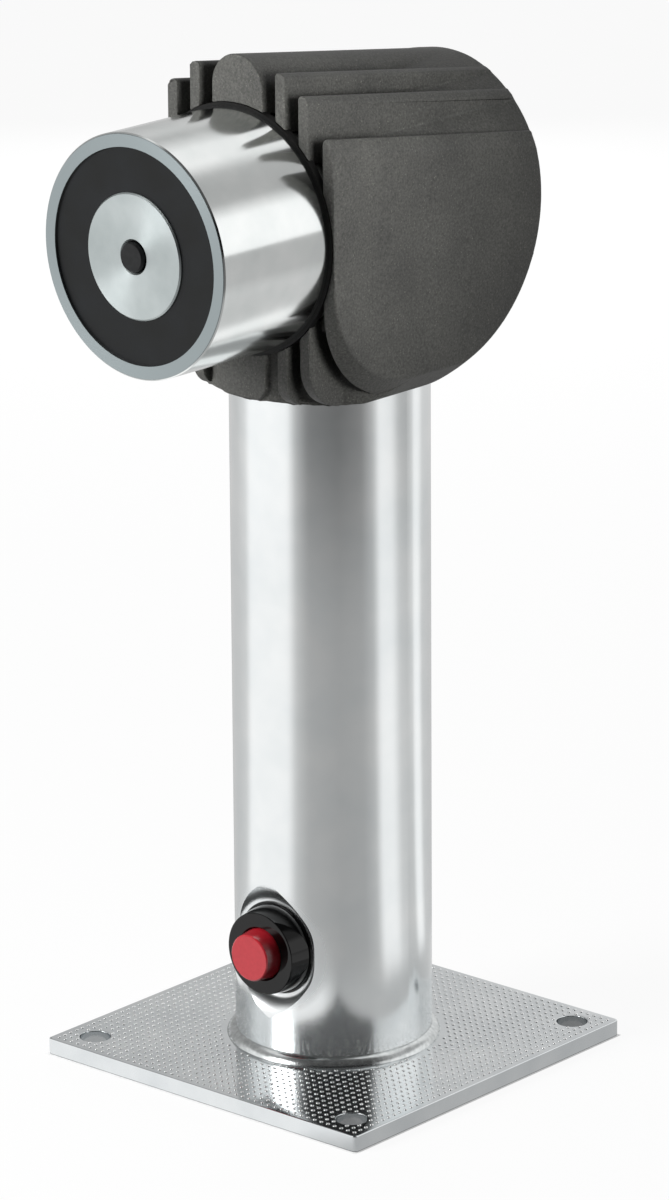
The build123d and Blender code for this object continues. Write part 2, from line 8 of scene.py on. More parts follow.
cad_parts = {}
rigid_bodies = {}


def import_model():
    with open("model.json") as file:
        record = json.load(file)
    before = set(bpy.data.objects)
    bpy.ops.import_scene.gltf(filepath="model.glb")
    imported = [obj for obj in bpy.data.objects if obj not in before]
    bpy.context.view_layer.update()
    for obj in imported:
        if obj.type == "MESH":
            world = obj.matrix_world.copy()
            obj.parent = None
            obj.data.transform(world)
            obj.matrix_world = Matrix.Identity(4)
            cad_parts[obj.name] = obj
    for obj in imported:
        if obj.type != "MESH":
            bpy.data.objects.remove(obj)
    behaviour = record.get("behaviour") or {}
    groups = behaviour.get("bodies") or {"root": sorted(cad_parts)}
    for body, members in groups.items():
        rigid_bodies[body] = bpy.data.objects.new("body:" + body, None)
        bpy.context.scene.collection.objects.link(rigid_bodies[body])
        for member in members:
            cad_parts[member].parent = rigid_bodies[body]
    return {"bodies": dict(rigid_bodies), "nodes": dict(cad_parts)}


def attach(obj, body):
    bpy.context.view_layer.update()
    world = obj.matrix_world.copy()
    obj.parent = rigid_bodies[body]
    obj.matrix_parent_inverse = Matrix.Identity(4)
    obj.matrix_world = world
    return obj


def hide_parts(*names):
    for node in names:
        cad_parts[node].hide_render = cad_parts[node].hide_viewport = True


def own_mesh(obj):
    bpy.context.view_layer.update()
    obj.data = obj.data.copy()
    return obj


# Floor-standing electromagnetic door holder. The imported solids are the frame, in metres.
# The base plate lies on z = 0, the release button faces -Y and the magnet nearly so.
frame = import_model()
nodes = frame["nodes"]

# The start-up objects go, and only the frame stays
framework = set(nodes.values()) | set(frame["bodies"].values())
for leftover in list(bpy.data.objects):
    if leftover not in framework:
        bpy.data.objects.remove(leftover)
bpy.context.view_layer.update()

MM = 0.001

# Sizes repeated from the part's source, in metres
PLATE_TOP = 5.0 * MM
BOLT_PLACE = 50.0 * MM
BOLT_HOLE = 4.5 * MM
POST_RADIUS = 29.0 * MM
WELD_LEG = 2.6 * MM
HEAD_TURN = radians(-2.2)
GROUND_FROM = 78.5 * MM
BUTTON_HEIGHT = 38.0 * MM

# Round the button the tube is duller: fully to the first reach, and not past the second
DULL_WITHIN = 17.0 * MM
DULL_UNTIL = 20.5 * MM


# Camera, with the photograph's place, tilt and field of view

CAMERA_PLACE = (1.200248, -1.378083, 0.719865)
CAMERA_RIGHT = (0.755745, 0.654835, -0.006333)
CAMERA_UP = (-0.194112, 0.233239, 0.952848)
CAMERA_BACK = (0.625436, -0.718881, 0.303381)
# Lens and film height in millimetres, as the camera's own settings take them
LENS = 198.572
FILM_HEIGHT = 36.0


def make_camera():
    """The camera stands to the right of the magnet and looks down at the holder."""
    lens = bpy.data.cameras.new("photo_camera")
    lens.sensor_fit = "VERTICAL"
    lens.sensor_height = FILM_HEIGHT
    lens.lens = LENS
    lens.clip_start = 0.05
    camera = bpy.data.objects.new("photo_camera", lens)
    turn = Matrix((CAMERA_RIGHT, CAMERA_UP, CAMERA_BACK)).transposed().to_4x4()
    camera.matrix_world = Matrix.Translation(CAMERA_PLACE) @ turn
    bpy.context.scene.collection.objects.link(camera)
    bpy.context.scene.camera = camera


make_camera()


# Materials

def linear(code):
    """An sRGB hex value as a linear colour."""
    parts = [int(code[place:place + 2], 16) / 255 for place in (1, 3, 5)]
    return tuple(p / 12.92 if p <= 0.04045 else ((p + 0.055) / 1.055) ** 2.4 for p in parts) + (1.0,)


def apart(spacing):
    """The scale of a pattern whose features lie this many millimetres apart."""
    return 1 / (spacing * MM)


def add(tree, kind, inputs=None, stops=None, **settings):
    """Adds a node with its settings. An input is a plain value, or a socket that gets linked."""
    node = tree.nodes.new(kind)
    for name, value in settings.items():
        setattr(node, name, value)
    for name, value in (inputs or {}).items():
        if isinstance(value, bpy.types.NodeSocket):
            tree.links.new(value, node.inputs[name])
        else:
            node.inputs[name].default_value = value
    for place, (position, colour) in enumerate(stops or ()):
        elements = node.color_ramp.elements
        element = elements[place] if place < 2 else elements.new(position)
        element.position = position
        element.color = colour
    return node


def start(name):
    """A new material without nodes, and its node tree."""
    material = bpy.data.materials.new(name)
    material.use_nodes = True
    material.node_tree.nodes.clear()
    return material, material.node_tree


def grey(level):
    """A linear grey as a colour."""
    return (level, level, level, 1.0)


def polished_zinc_on_drawn_tube():
    """Drawn steel tube, polished and bright zinc plated: a near mirror with faint draw lines
    along it, which the eye reads as slightly soft bands of light."""
    material, tree = start("polished_zinc_on_drawn_tube")
    place = add(tree, "ShaderNodeTexCoord").outputs["Object"]
    # Draw lines 0.6 mm apart round the tube and 60 mm long, coarser than the real ones
    stretched = add(tree, "ShaderNodeMapping", {"Vector": place, "Scale": (1.0, 1.0, 0.01)}).outputs[0]
    lines = add(tree, "ShaderNodeTexNoise",
                {"Vector": stretched, "Scale": apart(0.625), "Detail": 3.0}).outputs["Fac"]
    # Cloudy plating
    cloud = add(tree, "ShaderNodeTexNoise",
                {"Vector": place, "Scale": apart(18.2), "Detail": 4.0}).outputs["Fac"]
    tint = add(tree, "ShaderNodeValToRGB", {"Fac": cloud},
               [(0.3, linear("#e6eaeb")), (0.7, linear("#f2f4f4"))]).outputs["Color"]
    polish = add(tree, "ShaderNodeMapRange", {"Value": cloud, "To Min": 0.13, "To Max": 0.2}).outputs[0]
    # The seat pressed in round the button is stretched and duller
    seat = add(tree, "ShaderNodeVectorMath",
               {0: place, 1: (0.0, -POST_RADIUS, BUTTON_HEIGHT)}, operation="DISTANCE").outputs["Value"]
    pressed = add(tree, "ShaderNodeMapRange",
                  {"Value": seat, "From Min": DULL_UNTIL, "From Max": DULL_WITHIN}).outputs[0]
    gloss = add(tree, "ShaderNodeMix", {"Factor": pressed, "A": polish, "B": 0.34}).outputs["Result"]
    dents = add(tree, "ShaderNodeBump",
                {"Height": lines, "Strength": 0.12, "Distance": 0.02 * MM}).outputs[0]
    skin = add(tree, "ShaderNodeBsdfPrincipled",
               {"Base Color": tint, "Metallic": 1.0, "Roughness": gloss, "Normal": dents})
    add(tree, "ShaderNodeOutputMaterial", {"Surface": skin.outputs[0]})
    return material


def bright_zinc_on_pressed_plate():
    """Steel plate with pressed dots, bright zinc plated: duller than the tube, with a soft cloud
    of plating and fine rolling grain."""
    material, tree = start("bright_zinc_on_pressed_plate")
    place = add(tree, "ShaderNodeTexCoord").outputs["Object"]
    cloud = add(tree, "ShaderNodeTexNoise",
                {"Vector": place, "Scale": apart(14.3), "Detail": 5.0}).outputs["Fac"]
    # Rolling grain, coarser than the real one so that it shows
    grain = add(tree, "ShaderNodeTexNoise",
                {"Vector": place, "Scale": apart(0.333), "Detail": 2.0}).outputs["Fac"]
    tint = add(tree, "ShaderNodeValToRGB", {"Fac": cloud},
               [(0.3, linear("#dce0e2")), (0.7, linear("#eaedee"))]).outputs["Color"]
    gloss = add(tree, "ShaderNodeMapRange", {"Value": cloud, "To Min": 0.08, "To Max": 0.14}).outputs[0]
    pits = add(tree, "ShaderNodeBump",
               {"Height": grain, "Strength": 0.25, "Distance": 0.03 * MM}).outputs[0]
    skin = add(tree, "ShaderNodeBsdfPrincipled",
               {"Base Color": tint, "Metallic": 1.0, "Roughness": gloss, "Normal": pits})
    add(tree, "ShaderNodeOutputMaterial", {"Surface": skin.outputs[0]})
    return material


def dot_crests_with_painted_gleam():
    """The same zinc on the crests of the pressed dots, tinted paler than the plate as a painted highlight,
    so that each dot gleams."""
    material, tree = start("dot_crests_with_painted_gleam")
    place = add(tree, "ShaderNodeTexCoord").outputs["Object"]
    # Some dots are brighter than others, in patches wider than one dot
    patch = add(tree, "ShaderNodeTexNoise",
                {"Vector": place, "Scale": apart(3.125), "Detail": 2.0}).outputs["Fac"]
    # The paler tint is a painted highlight on each dot
    tint = add(tree, "ShaderNodeValToRGB", {"Fac": patch},
               [(0.3, linear("#eef1f1")), (0.7, linear("#ffffff"))]).outputs["Color"]
    gloss = add(tree, "ShaderNodeMapRange", {"Value": patch, "To Min": 0.2, "To Max": 0.32}).outputs[0]
    skin = add(tree, "ShaderNodeBsdfPrincipled", {"Base Color": tint, "Metallic": 1.0, "Roughness": gloss})
    add(tree, "ShaderNodeOutputMaterial", {"Surface": skin.outputs[0]})
    return material


def zinc_plated_weld():
    """Steel fillet weld under bright zinc: rounded ripples that catch small highlights."""
    material, tree = start("zinc_plated_weld")
    place = add(tree, "ShaderNodeTexCoord").outputs["Object"]
    # Ripples left as the weld set
    ripple = add(tree, "ShaderNodeTexNoise",
                 {"Vector": place, "Scale": apart(1.54), "Detail": 2.0}).outputs["Fac"]
    # The tint follows the ripples' height, paler on their crests and darker between them: painted highlight
    # and shade
    tint = add(tree, "ShaderNodeValToRGB", {"Fac": ripple},
               [(0.3, linear("#ccd0d0")), (0.7, linear("#e2e5e5"))]).outputs["Color"]
    waves = add(tree, "ShaderNodeBump",
                {"Height": ripple, "Strength": 0.3, "Distance": 0.1 * MM}).outputs[0]
    skin = add(tree, "ShaderNodeBsdfPrincipled",
               {"Base Color": tint, "Metallic": 1.0, "Roughness": 0.2, "Normal": waves})
    add(tree, "ShaderNodeOutputMaterial", {"Surface": skin.outputs[0]})
    return material


def glass_filled_moulded_nylon():
    """Black glass-filled nylon from a lightly eroded mould: a warm charcoal, satin to matt, with
    pale fibre specks near the skin and a fine even grain."""
    material, tree = start("glass_filled_moulded_nylon")
    place = add(tree, "ShaderNodeTexCoord").outputs["Object"]
    # Eroded grain and fibre specks, both coarser than the real ones so that they show, and the
    # clouds where the melt flowed
    grain = add(tree, "ShaderNodeTexNoise",
                {"Vector": place, "Scale": apart(0.667), "Detail": 4.0}).outputs["Fac"]
    specks = add(tree, "ShaderNodeTexNoise",
                 {"Vector": place, "Scale": apart(0.526), "Detail": 2.0, "Roughness": 0.6}).outputs["Fac"]
    flow = add(tree, "ShaderNodeTexNoise",
               {"Vector": place, "Scale": apart(20), "Detail": 4.0}).outputs["Fac"]
    ground = add(tree, "ShaderNodeValToRGB", {"Fac": flow},
                 [(0.3, linear("#40403e")), (0.75, linear("#4e4e4b"))]).outputs["Color"]
    grained = add(tree, "ShaderNodeMapRange",
                  {"Value": grain, "From Min": 0.3, "From Max": 0.7,
                   "To Min": 0.62, "To Max": 1.38}).outputs[0]
    shaded = add(tree, "ShaderNodeMix", {"Factor": 1.0, "A": ground, "B": grained},
                 data_type="RGBA", blend_type="MULTIPLY").outputs["Result"]
    showing = add(tree, "ShaderNodeMapRange",
                  {"Value": specks, "From Min": 0.62, "From Max": 0.76, "To Max": 0.5}).outputs[0]
    colour = add(tree, "ShaderNodeMix", {"Factor": showing, "A": shaded, "B": linear("#8b8a82")},
                 data_type="RGBA").outputs["Result"]
    gloss = add(tree, "ShaderNodeMapRange", {"Value": grain, "To Min": 0.44, "To Max": 0.58}).outputs[0]
    pits = add(tree, "ShaderNodeBump", {"Height": grain, "Strength": 0.5, "Distance": 0.1 * MM}).outputs[0]
    skin = add(tree, "ShaderNodeBsdfPrincipled",
               {"Base Color": colour, "Roughness": gloss, "IOR": 1.53, "Specular IOR Level": 0.32,
                "Normal": pits})
    add(tree, "ShaderNodeOutputMaterial", {"Surface": skin.outputs[0]})
    return material


def polished_black_phenolic():
    """Black phenolic of the button's collar, polished mould: deep black with sharp highlights."""
    material, tree = start("polished_black_phenolic")
    place = add(tree, "ShaderNodeTexCoord").outputs["Object"]
    haze = add(tree, "ShaderNodeTexNoise",
               {"Vector": place, "Scale": apart(3.85), "Detail": 4.0}).outputs["Fac"]
    colour = add(tree, "ShaderNodeValToRGB", {"Fac": haze},
                 [(0.3, linear("#020202")), (0.7, linear("#050505"))]).outputs["Color"]
    gloss = add(tree, "ShaderNodeMapRange", {"Value": haze, "To Min": 0.03, "To Max": 0.06}).outputs[0]
    skin = add(tree, "ShaderNodeBsdfPrincipled",
               {"Base Color": colour, "Roughness": gloss, "IOR": 1.5, "Specular IOR Level": 0.35})
    add(tree, "ShaderNodeOutputMaterial", {"Surface": skin.outputs[0]})
    return material


def red_moulded_abs():
    """Red ABS of the button's cap: an even signal red, glossy from touch, with faint mould haze."""
    material, tree = start("red_moulded_abs")
    place = add(tree, "ShaderNodeTexCoord").outputs["Object"]
    haze = add(tree, "ShaderNodeTexNoise",
               {"Vector": place, "Scale": apart(1.11), "Detail": 3.0}).outputs["Fac"]
    colour = add(tree, "ShaderNodeValToRGB", {"Fac": haze},
                 [(0.3, linear("#ad1e2a")), (0.7, linear("#b5242f"))]).outputs["Color"]
    gloss = add(tree, "ShaderNodeMapRange", {"Value": haze, "To Min": 0.22, "To Max": 0.28}).outputs[0]
    skin = add(tree, "ShaderNodeBsdfPrincipled",
               {"Base Color": colour, "Roughness": gloss, "IOR": 1.54,
                "Coat Weight": 0.3, "Coat Roughness": 0.12})
    add(tree, "ShaderNodeOutputMaterial", {"Surface": skin.outputs[0]})
    return material


def turned_and_plated_pot():
    """Low-carbon steel pot, turned and nickel plated: a bright mirror with fine turning marks
    round its axis. The ring that meets the door's plate is ground, greyer and less glossy."""
    material, tree = start("turned_and_plated_pot")
    place = add(tree, "ShaderNodeTexCoord").outputs["Object"]
    # The place along the magnet's axis, which is turned with the head
    turned = add(tree, "ShaderNodeMapping",
                 {"Vector": place, "Rotation": (0.0, 0.0, -HEAD_TURN)}).outputs[0]
    reach = add(tree, "ShaderNodeSeparateXYZ", {"Vector": turned}).outputs["Y"]
    ground = add(tree, "ShaderNodeMapRange",
                 {"Value": reach, "From Min": -GROUND_FROM, "From Max": -GROUND_FROM - 0.1 * MM}).outputs[0]
    # Turning marks along the axis, coarser than the real feed
    squeezed = add(tree, "ShaderNodeMapping", {"Vector": turned, "Scale": (0.02, 1.0, 0.02)}).outputs[0]
    marks = add(tree, "ShaderNodeTexNoise",
                {"Vector": squeezed, "Scale": apart(0.417), "Detail": 3.0}).outputs["Fac"]
    cloud = add(tree, "ShaderNodeTexNoise",
                {"Vector": place, "Scale": apart(12.5), "Detail": 4.0}).outputs["Fac"]
    plated = add(tree, "ShaderNodeValToRGB", {"Fac": cloud},
                 [(0.3, linear("#e6eae9")), (0.7, linear("#f2f4f3"))]).outputs["Color"]
    tint = add(tree, "ShaderNodeMix", {"Factor": ground, "A": plated, "B": linear("#9aa3a5")},
               data_type="RGBA").outputs["Result"]
    smooth = add(tree, "ShaderNodeMapRange", {"Value": cloud, "To Min": 0.1, "To Max": 0.17}).outputs[0]
    gloss = add(tree, "ShaderNodeMix", {"Factor": ground, "A": smooth, "B": 0.36}).outputs["Result"]
    dents = add(tree, "ShaderNodeBump",
                {"Height": marks, "Strength": 0.15, "Distance": 0.02 * MM}).outputs[0]
    round_axis = add(tree, "ShaderNodeTangent", direction_type="RADIAL", axis="Y").outputs[0]
    skin = add(tree, "ShaderNodeBsdfPrincipled",
               {"Base Color": tint, "Metallic": 1.0, "Roughness": gloss, "Anisotropic": 0.5,
                "Anisotropic Rotation": 0.25, "Tangent": round_axis, "Normal": dents})
    add(tree, "ShaderNodeOutputMaterial", {"Surface": skin.outputs[0]})
    return material


def ground_and_plated_core():
    """Steel core, face ground in circles and plated: a cool grey that fans out into two pale
    lobes across the grinding marks."""
    material, tree = start("ground_and_plated_core")
    place = add(tree, "ShaderNodeTexCoord").outputs["Object"]
    cloud = add(tree, "ShaderNodeTexNoise",
                {"Vector": place, "Scale": apart(8.33), "Detail": 4.0}).outputs["Fac"]
    grain = add(tree, "ShaderNodeTexNoise",
                {"Vector": place, "Scale": apart(0.3125), "Detail": 2.0}).outputs["Fac"]
    tint = add(tree, "ShaderNodeValToRGB", {"Fac": cloud},
               [(0.3, linear("#b4bcbc")), (0.7, linear("#c2c9c9"))]).outputs["Color"]
    pits = add(tree, "ShaderNodeBump",
               {"Height": grain, "Strength": 0.15, "Distance": 0.02 * MM}).outputs[0]
    round_axis = add(tree, "ShaderNodeTangent", direction_type="RADIAL", axis="Y").outputs[0]
    skin = add(tree, "ShaderNodeBsdfPrincipled",
               {"Base Color": tint, "Metallic": 1.0, "Roughness": 0.34, "Anisotropic": 0.8,
                "Anisotropic Rotation": 0.25, "Tangent": round_axis, "Normal": pits})
    add(tree, "ShaderNodeOutputMaterial", {"Surface": skin.outputs[0]})
    return material


def poured_epoxy_resin():
    """Black epoxy poured round the core: satin, blue-black, level, with a faint skin texture."""
    material, tree = start("poured_epoxy_resin")
    place = add(tree, "ShaderNodeTexCoord").outputs["Object"]
    cloud = add(tree, "ShaderNodeTexNoise",
                {"Vector": place, "Scale": apart(11.1), "Detail": 5.0}).outputs["Fac"]
    skinning = add(tree, "ShaderNodeTexNoise",
                   {"Vector": place, "Scale": apart(0.455), "Detail": 3.0}).outputs["Fac"]
    colour = add(tree, "ShaderNodeValToRGB", {"Fac": cloud},
                 [(0.3, linear("#040505")), (0.7, linear("#0e1012"))]).outputs["Color"]
    gloss = add(tree, "ShaderNodeMapRange", {"Value": cloud, "To Min": 0.42, "To Max": 0.56}).outputs[0]
    pits = add(tree, "ShaderNodeBump",
               {"Height": skinning, "Strength": 0.2, "Distance": 0.04 * MM}).outputs[0]
    skin = add(tree, "ShaderNodeBsdfPrincipled",
               {"Base Color": colour, "Roughness": gloss, "IOR": 1.55, "Specular IOR Level": 0.22,
                "Normal": pits})
    add(tree, "ShaderNodeOutputMaterial", {"Surface": skin.outputs[0]})
    return material


def moulded_black_rubber():
    """Black moulded rubber of the seal and the grommet: matt with a soft sheen."""
    material, tree = start("moulded_black_rubber")
    place = add(tree, "ShaderNodeTexCoord").outputs["Object"]
    bloom = add(tree, "ShaderNodeTexNoise",
                {"Vector": place, "Scale": apart(2), "Detail": 4.0}).outputs["Fac"]
    colour = add(tree, "ShaderNodeValToRGB", {"Fac": bloom},
                 [(0.3, linear("#090909")), (0.7, linear("#10100f"))]).outputs["Color"]
    pits = add(tree, "ShaderNodeBump", {"Height": bloom, "Strength": 0.2, "Distance": 0.05 * MM}).outputs[0]
    skin = add(tree, "ShaderNodeBsdfPrincipled",
               {"Base Color": colour, "Roughness": 0.6, "IOR": 1.52, "Specular IOR Level": 0.25,
                "Normal": pits})
    add(tree, "ShaderNodeOutputMaterial", {"Surface": skin.outputs[0]})
    return material


def blackened_pin_steel():
    """Black-oxide steel of the release pin and the set screws: oily black with worn sheen."""
    material, tree = start("blackened_pin_steel")
    place = add(tree, "ShaderNodeTexCoord").outputs["Object"]
    wear = add(tree, "ShaderNodeTexNoise",
               {"Vector": place, "Scale": apart(1.43), "Detail": 5.0}).outputs["Fac"]
    colour = add(tree, "ShaderNodeValToRGB", {"Fac": wear},
                 [(0.4, linear("#0e0f10")), (0.8, linear("#1d1e1f"))]).outputs["Color"]
    gloss = add(tree, "ShaderNodeMapRange", {"Value": wear, "To Min": 0.45, "To Max": 0.3}).outputs[0]
    skin = add(tree, "ShaderNodeBsdfPrincipled",
               {"Base Color": colour, "Metallic": 0.5, "Roughness": gloss})
    add(tree, "ShaderNodeOutputMaterial", {"Surface": skin.outputs[0]})
    return material


def drawn_spring_steel():
    """Drawn spring wire: grey, smooth, with die lines along the wire."""
    material, tree = start("drawn_spring_steel")
    place = add(tree, "ShaderNodeTexCoord").outputs["Object"]
    lines = add(tree, "ShaderNodeTexNoise",
                {"Vector": place, "Scale": apart(0.667), "Detail": 3.0}).outputs["Fac"]
    tint = add(tree, "ShaderNodeValToRGB", {"Fac": lines},
               [(0.3, linear("#8d9092")), (0.7, linear("#a7aaab"))]).outputs["Color"]
    skin = add(tree, "ShaderNodeBsdfPrincipled", {"Base Color": tint, "Metallic": 1.0, "Roughness": 0.32})
    add(tree, "ShaderNodeOutputMaterial", {"Surface": skin.outputs[0]})
    return material


def stamped_brass():
    """Stamped and turned brass of the contacts, cages and inserts: warm yellow, slightly dulled."""
    material, tree = start("stamped_brass")
    place = add(tree, "ShaderNodeTexCoord").outputs["Object"]
    tarnish = add(tree, "ShaderNodeTexNoise",
                  {"Vector": place, "Scale": apart(2.22), "Detail": 4.0}).outputs["Fac"]
    tint = add(tree, "ShaderNodeValToRGB", {"Fac": tarnish},
               [(0.3, linear("#b08d4a")), (0.7, linear("#d0ae68"))]).outputs["Color"]
    gloss = add(tree, "ShaderNodeMapRange", {"Value": tarnish, "To Min": 0.38, "To Max": 0.26}).outputs[0]
    skin = add(tree, "ShaderNodeBsdfPrincipled", {"Base Color": tint, "Metallic": 1.0, "Roughness": gloss})
    add(tree, "ShaderNodeOutputMaterial", {"Surface": skin.outputs[0]})
    return material


def enamelled_copper_wire():
    """Layers of enamelled copper wire: amber brown under clear varnish, with the turns as ridges."""
    material, tree = start("enamelled_copper_wire")
    place = add(tree, "ShaderNodeTexCoord").outputs["Object"]
    # Turns side by side along the magnet's axis, drawn 1 mm apart, coarser than the real wire.
    # The bands of a wave are pi / 10 long at a scale of 1.
    turns = add(tree, "ShaderNodeTexWave",
                {"Vector": place, "Scale": pi / 10 * apart(1), "Distortion": 0.3},
                bands_direction="Y").outputs["Fac"]
    # The tint follows the turns' height, dark between them and pale on their crests: painted shade and
    # highlight
    tint = add(tree, "ShaderNodeValToRGB", {"Fac": turns},
               [(0.2, linear("#5a2814")), (0.8, linear("#a4552c"))]).outputs["Color"]
    ridges = add(tree, "ShaderNodeBump",
                 {"Height": turns, "Strength": 0.6, "Distance": 0.1 * MM}).outputs[0]
    skin = add(tree, "ShaderNodeBsdfPrincipled",
               {"Base Color": tint, "Metallic": 0.8, "Roughness": 0.3, "Coat Weight": 0.6, "Normal": ridges})
    add(tree, "ShaderNodeOutputMaterial", {"Surface": skin.outputs[0]})
    return material


def natural_moulded_nylon():
    """Uncoloured nylon of the bobbin and the bush: milky cream, slightly translucent skin."""
    material, tree = start("natural_moulded_nylon")
    place = add(tree, "ShaderNodeTexCoord").outputs["Object"]
    flow = add(tree, "ShaderNodeTexNoise",
               {"Vector": place, "Scale": apart(6.67), "Detail": 4.0}).outputs["Fac"]
    colour = add(tree, "ShaderNodeValToRGB", {"Fac": flow},
                 [(0.3, linear("#d9d3c0")), (0.7, linear("#e8e3d3"))]).outputs["Color"]
    gloss = add(tree, "ShaderNodeMapRange", {"Value": flow, "To Min": 0.38, "To Max": 0.5}).outputs[0]
    skin = add(tree, "ShaderNodeBsdfPrincipled",
               {"Base Color": colour, "Roughness": gloss, "IOR": 1.53, "Subsurface Weight": 0.1})
    add(tree, "ShaderNodeOutputMaterial", {"Surface": skin.outputs[0]})
    return material


def grey_polyamide_block():
    """Grey polyamide of the terminal block: even mid grey, satin from the mould."""
    material, tree = start("grey_polyamide_block")
    place = add(tree, "ShaderNodeTexCoord").outputs["Object"]
    grain = add(tree, "ShaderNodeTexNoise",
                {"Vector": place, "Scale": apart(0.556), "Detail": 3.0}).outputs["Fac"]
    colour = add(tree, "ShaderNodeValToRGB", {"Fac": grain},
                 [(0.3, linear("#8a8d8c")), (0.7, linear("#979a99"))]).outputs["Color"]
    pits = add(tree, "ShaderNodeBump", {"Height": grain, "Strength": 0.2, "Distance": 0.04 * MM}).outputs[0]
    skin = add(tree, "ShaderNodeBsdfPrincipled",
               {"Base Color": colour, "Roughness": 0.45, "IOR": 1.53, "Normal": pits})
    add(tree, "ShaderNodeOutputMaterial", {"Surface": skin.outputs[0]})
    return material


def zinc_plated_fasteners():
    """Rolled and plated screws, nuts and studs: pale blue-white zinc, slightly frosted."""
    material, tree = start("zinc_plated_fasteners")
    place = add(tree, "ShaderNodeTexCoord").outputs["Object"]
    frost = add(tree, "ShaderNodeTexNoise",
                {"Vector": place, "Scale": apart(1.11), "Detail": 4.0}).outputs["Fac"]
    tint = add(tree, "ShaderNodeValToRGB", {"Fac": frost},
               [(0.3, linear("#b9bfc3")), (0.7, linear("#d0d5d8"))]).outputs["Color"]
    gloss = add(tree, "ShaderNodeMapRange", {"Value": frost, "To Min": 0.36, "To Max": 0.24}).outputs[0]
    skin = add(tree, "ShaderNodeBsdfPrincipled", {"Base Color": tint, "Metallic": 1.0, "Roughness": gloss})
    add(tree, "ShaderNodeOutputMaterial", {"Surface": skin.outputs[0]})
    return material


tube_finish = polished_zinc_on_drawn_tube()
plate_finish = bright_zinc_on_pressed_plate()
crest_finish = dot_crests_with_painted_gleam()
weld_finish = zinc_plated_weld()
housing_finish = glass_filled_moulded_nylon()
collar_finish = polished_black_phenolic()
cap_finish = red_moulded_abs()
pot_finish = turned_and_plated_pot()
core_finish = ground_and_plated_core()
resin_finish = poured_epoxy_resin()
rubber_finish = moulded_black_rubber()
pin_finish = blackened_pin_steel()
spring_finish = drawn_spring_steel()
brass_finish = stamped_brass()
copper_finish = enamelled_copper_wire()
nylon_finish = natural_moulded_nylon()
block_finish = grey_polyamide_block()
fastener_finish = zinc_plated_fasteners()

finishes = {
    "base_plate": plate_finish,
    "post_tube": tube_finish,
    "weld_bead": weld_finish,
    "cable_grommet": rubber_finish,
    "button_housing": collar_finish,
    "button_washer": housing_finish,
    "button_nut": housing_finish,
    "button_contacts": brass_finish,
    "button_lid": housing_finish,
    "button_spring": spring_finish,
    "button_cap": cap_finish,
    "contact_bridge": brass_finish,
    "head_housing": housing_finish,
    "clamp_inserts": brass_finish,
    "clamp_screws": pin_finish,
    "magnet_pot": pot_finish,
    "magnet_core": core_finish,
    "coil_bobbin": nylon_finish,
    "coil_winding": copper_finish,
    "potting_resin": resin_finish,
    "pot_seal": rubber_finish,
    "pot_stud": fastener_finish,
    "pot_washer": fastener_finish,
    "pot_nut": fastener_finish,
    "lead_bush": nylon_finish,
    "release_pin": pin_finish,
    "pin_clip": spring_finish,
    "pin_spring": spring_finish,
    "terminal_block": block_finish,
    "terminal_cages": brass_finish,
    "terminal_screws": fastener_finish,
    "block_screws": fastener_finish,
}
for name, finish in finishes.items():
    for material_slot in nodes[name].material_slots:
        material_slot.material = finish


# Tools that the modelled pieces share

MERGE_GAP = 0.002 * MM


def pick(piece, wanted):
    """Selects the faces of a piece whose centre passes a test, in edit mode."""
    bpy.ops.object.mode_set(mode="OBJECT")
    for face in piece.data.polygons:
        face.select = wanted(face.center, face.normal)
    bpy.ops.object.mode_set(mode="EDIT")


def use_modifier(piece, kind, **settings):
    """Adds a modifier with its settings and applies it."""
    modifier = piece.modifiers.new(kind.lower(), kind)
    for name, value in settings.items():
        setattr(modifier, name, value)
    bpy.ops.object.modifier_apply(modifier=modifier.name)


def copy_node(node, name, finish):
    """A copy of a node's mesh as a new piece with its finish, selected alone."""
    bpy.ops.object.select_all(action="DESELECT")
    piece = bpy.data.objects.new(name, nodes[node].data.copy())
    bpy.context.scene.collection.objects.link(piece)
    bpy.context.view_layer.objects.active = piece
    piece.select_set(True)
    for place in range(len(piece.data.materials)):
        piece.data.materials[place] = finish
    return piece


def join_triangles():
    """Merges the loose triangles of a node's copy, in edit mode with all of it selected."""
    bpy.ops.object.mode_set(mode="EDIT")
    bpy.ops.mesh.select_all(action="SELECT")
    bpy.ops.mesh.remove_doubles(threshold=MERGE_GAP)


# Soft edges of the moulded head and the plate

MOULD_EDGE = 0.5 * MM
PLATE_EDGE = 0.45 * MM
SHARP_FROM = radians(24)
FLAT_WITHIN = radians(0.5)
SMOOTH_WITHIN = radians(40)


def make_soft_edged(node, name, body, finish, rounding):
    """The node's own shape with its sharp edges rounded a little, so that they catch the light."""
    piece = copy_node(node, name, finish)
    shape = BVHTree.FromPolygons([point.co for point in piece.data.vertices],
                                 [face.vertices for face in piece.data.polygons])
    bpy.ops.mesh.customdata_custom_splitnormals_clear()
    join_triangles()
    bpy.ops.mesh.dissolve_limited(angle_limit=FLAT_WITHIN)
    bpy.ops.object.mode_set(mode="OBJECT")
    use_modifier(piece, "BEVEL", width=rounding, segments=2, limit_method="ANGLE",
                 angle_limit=SHARP_FROM, miter_outer="MITER_ARC", use_clamp_overlap=False)
    # Where the rounding runs off a sliver of the mesh, its points are put back on the shape
    for point in piece.data.vertices:
        spot, _, _, gap = shape.find_nearest(point.co)
        if gap > rounding / 2:
            point.co = spot
    use_modifier(piece, "TRIANGULATE")
    bpy.ops.object.shade_smooth_by_angle(angle=SMOOTH_WITHIN)
    use_modifier(piece, "WEIGHTED_NORMAL", keep_sharp=True, weight=80)
    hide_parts(node)
    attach(piece, body)


# Springs, as merged copies of their nodes

def make_closing_spring(node, name, body):
    """The node's own coil, merged into one piece that takes the node's place on its body."""
    piece = copy_node(node, name, spring_finish)
    join_triangles()
    bpy.ops.object.mode_set(mode="OBJECT")
    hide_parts(node)
    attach(piece, body)
    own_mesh(piece)


# Pressed dots on the plate

